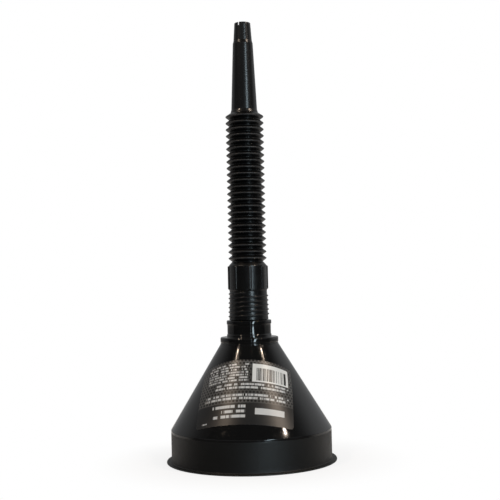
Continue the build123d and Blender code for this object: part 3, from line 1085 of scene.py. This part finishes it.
class FUNNEL_OT_studio(bpy.types.Operator):
    """Set the floor, the lights and the camera"""

    bl_idname = "funnel.studio"
    bl_label = "Studio"

    def execute(self, context):
        s = context.scene.funnel_studio
        self.floor(s)
        self.surround(context.scene)
        self.lights()
        self.camera(context.scene, s)
        context.scene.view_settings.view_transform = "Standard"
        return {"FINISHED"}

    @staticmethod
    def floor(s):
        """A pale round floor that fades to the white surround away from the funnel."""
        mesh = bmesh.new()
        bmesh.ops.create_circle(mesh, cap_ends=True, segments=96, radius=FLOOR_RADIUS)
        floor = finished("studio_floor", mesh)
        floor.location.z = -FLOOR_DROP
        material, w, shader, place = new_material("studio_floor", 0.6, tuple(s.floor_tint))
        far = w.node("ShaderNodeVectorMath", operation="LENGTH")
        w.join(place, far.inputs[0])
        seen = w.node("ShaderNodeLightPath").outputs["Is Camera Ray"]
        grain = w.noise(place, 300.0, 3.0)
        tint = tuple(s.floor_tint)
        shown = w.mix(grain, tint, scaled(tint, 0.97))
        behind = w.ramp(w.parts(place)["Y"], *FLOOR_BEHIND)
        dim = tuple(s.floor_reflected)
        reflected = w.mix(behind, dim, scaled(dim, FLOOR_GAIN))
        w.join(w.mix(seen, reflected, shown), shader.inputs["Base Color"])
        glow = w.node("ShaderNodeEmission")
        glow.inputs["Color"].default_value = WHITE
        blend = w.node("ShaderNodeMixShader")
        near = w.ramp(far.outputs["Value"], *FLOOR_FADE)
        w.join(w.times(seen, w.blend(near, FLOOR_WHITE, 1.0)), blend.inputs[0])
        w.join(shader.outputs[0], blend.inputs[1])
        w.join(glow.outputs[0], blend.inputs[2])
        w.join(blend.outputs[0], w.tree.nodes["Material Output"].inputs["Surface"])
        dress(floor, material)

    @staticmethod
    def surround(scene):
        """White to the eye; to reflections, bright behind the funnel and dim in front."""
        world = bpy.data.worlds.new("studio")
        scene.world = world
        world.use_nodes = True
        w = Wiring(world.node_tree)
        world.node_tree.nodes.clear()
        ray = w.parts(w.node("ShaderNodeTexCoord").outputs["Generated"])
        behind = w.ramp(ray["Y"], *BACK_SPAN)
        right = w.ramp(ray["X"], *RIGHT_SPAN)
        rising = w.ramp(ray["Z"], *BAND_RISE)
        falling = w.ramp(ray["Z"], *BAND_FALL)
        front = w.ramp(ray["Y"], *FRONT_SPAN)
        band = w.times(w.times(rising, falling), front)
        level = w.ramp(ray["Z"], *BELOW_TOP)
        behind = w.times(w.times(behind, level), BACK_GLOW)
        strength = w.plus(behind, w.times(band, BAND_GLOW))
        strength = w.plus(strength, w.times(w.times(right, behind), RIGHT_GLOW))
        strength = w.plus(strength, BASE_GLOW)
        light = w.node("ShaderNodeBackground")
        light.inputs["Color"].default_value = COOL_WHITE
        w.join(strength, light.inputs["Strength"])
        white = w.node("ShaderNodeBackground")
        white.inputs["Color"].default_value = WHITE
        white.inputs["Strength"].default_value = 1.0
        seen = w.node("ShaderNodeLightPath").outputs["Is Camera Ray"]
        mixed = w.node("ShaderNodeMixShader")
        w.join(seen, mixed.inputs[0])
        w.join(light.outputs[0], mixed.inputs[1])
        w.join(white.outputs[0], mixed.inputs[2])
        w.join(mixed.outputs[0], w.node("ShaderNodeOutputWorld").inputs["Surface"])

    @staticmethod
    def lights():
        """A tall cool strip at the right, three small warm lamps above and a soft wash."""
        for name, place, aim, along, size, power, tint in LAMPS:
            data = bpy.data.lights.new(name, "AREA")
            data.shape = "RECTANGLE"
            data.size, data.size_y = size
            data.energy = power
            data.color = tint
            lamp = bpy.data.objects.new(name, data)
            back = (Vector(place) - Vector(aim)).normalized()
            side = Vector(along).cross(back).normalized()
            turn = Matrix((side, back.cross(side), back)).transposed().to_4x4()
            lamp.matrix_world = Matrix.Translation(place) @ turn
            lamp.visible_glossy = name != "top_wash"
            bpy.context.scene.collection.objects.link(lamp)

    @staticmethod
    def camera(scene, s):
        """A camera in front, pitched and rolled by a degree or so."""
        data = bpy.data.cameras.new("camera")
        data.lens = s.lens
        data.sensor_width = 36.0
        camera = bpy.data.objects.new("camera", data)
        camera.location = (s.offset, -s.distance, s.height)
        tilt = Matrix.Rotation(math.pi / 2 + s.pitch, 4, "X")
        camera.rotation_euler = (tilt @ Matrix.Rotation(s.roll, 4, "Z")).to_euler()
        scene.collection.objects.link(camera)
        scene.camera = camera


WHITE = (1.0, 1.0, 1.0, 1.0)
COOL_WHITE = (0.97, 0.985, 1.0, 1.0)
FLOOR_RADIUS = 6.0
FLOOR_DROP = 0.2 * MM
# Where the floor turns from shaded to plain white, from the axis, and how white it starts.
FLOOR_FADE, FLOOR_WHITE = (0.07, 0.16), 0.8
# Where along Y the reflected floor grows brighter, and how many times.
FLOOR_BEHIND, FLOOR_GAIN = (-0.08, 0.03), 9.0
# Parts of the ray's direction over which each part of the reflected surround sets in.
BACK_SPAN, BELOW_TOP = (-0.2, 0.5), (0.97, 0.7)
RIGHT_SPAN, FRONT_SPAN = (0.3, 1.0), (0.0, -0.3)
BAND_RISE, BAND_FALL = (0.25, 0.42), (0.65, 0.48)
# Strengths; the right side's is a share of the back's.
BACK_GLOW, BAND_GLOW, RIGHT_GLOW, BASE_GLOW = 0.29, 0.4, 0.8, 0.05
ABOVE_BOWL = (0, 0, 0.1)
WARM = (1.0, 0.8, 0.62)
# Name, place, aim, direction of the long side, size, watts and colour of each lamp.
LAMPS = (
    (
        "cool_strip", (0.58, -1.27, 0.35), (0, 0, 0.25), (0.25, 0.12, 0.9),
        (0.16, 1.2), 8.0, (0.72, 0.9, 1.0),
    ),
    ("warm_lamp_left", (-0.80, -0.50, 1.36), ABOVE_BOWL, (0, 1, 0), (0.09, 0.07), 5.0, WARM),
    ("warm_lamp_right", (0.80, -0.50, 1.36), ABOVE_BOWL, (0, 1, 0), (0.09, 0.07), 5.0, WARM),
    (
        "warm_lamp_low", (0.95, -0.53, 1.13), (0, 0, 0.05), (0, 0, 1),
        (0.05, 0.06), 2.2, (1.0, 0.84, 0.7),
    ),
    ("top_wash", (0.0, 0.3, 1.9), ABOVE_BOWL, (0, 1, 0), (1.2, 1.2), 9.0, (1.0, 1.0, 1.0)),
)


class FUNNEL_PT_panel(bpy.types.Panel):
    """Lists the funnel's operators and settings"""

    bl_idname = "FUNNEL_PT_panel"
    bl_label = "Flexible Spout Funnel"
    bl_space_type = "VIEW_3D"
    bl_region_type = "UI"
    bl_category = "Funnel"

    def draw(self, context):
        for operator, settings in STEPS:
            box = self.layout.box()
            box.operator(operator.bl_idname)
            group = getattr(context.scene, settings)
            for name in group.__annotations__:
                box.prop(group, name)


STEPS = (
    (FUNNEL_OT_bowl, "funnel_bowl"),
    (FUNNEL_OT_label, "funnel_label"),
    (FUNNEL_OT_sleeve, "funnel_spout"),
    (FUNNEL_OT_bellows, "funnel_spout"),
    (FUNNEL_OT_nozzle, "funnel_spout"),
    (FUNNEL_OT_strainer, "funnel_strainer"),
    (FUNNEL_OT_studio, "funnel_studio"),
)
SETTINGS = {
    "funnel_bowl": BowlSettings,
    "funnel_label": LabelSettings,
    "funnel_spout": SpoutSettings,
    "funnel_strainer": StrainerSettings,
    "funnel_studio": StudioSettings,
}


def register():
    """Register the settings, operators and panel."""
    for name, group in SETTINGS.items():
        bpy.utils.register_class(group)
        setattr(bpy.types.Scene, name, bpy.props.PointerProperty(type=group))
    for operator, _ in STEPS:
        bpy.utils.register_class(operator)
    bpy.utils.register_class(FUNNEL_PT_panel)


def unregister():
    """Undo register."""
    bpy.utils.unregister_class(FUNNEL_PT_panel)
    for operator, _ in reversed(STEPS):
        bpy.utils.unregister_class(operator)
    for name, group in reversed(SETTINGS.items()):
        delattr(bpy.types.Scene, name)
        bpy.utils.unregister_class(group)


def main():
    """Build every piece in order."""
    register()
    bpy.ops.funnel.bowl()
    bpy.ops.funnel.label()
    bpy.ops.funnel.sleeve()
    bpy.ops.funnel.bellows()
    bpy.ops.funnel.nozzle()
    bpy.ops.funnel.strainer()
    bpy.ops.funnel.studio()


if __name__ == "__main__":
    main()
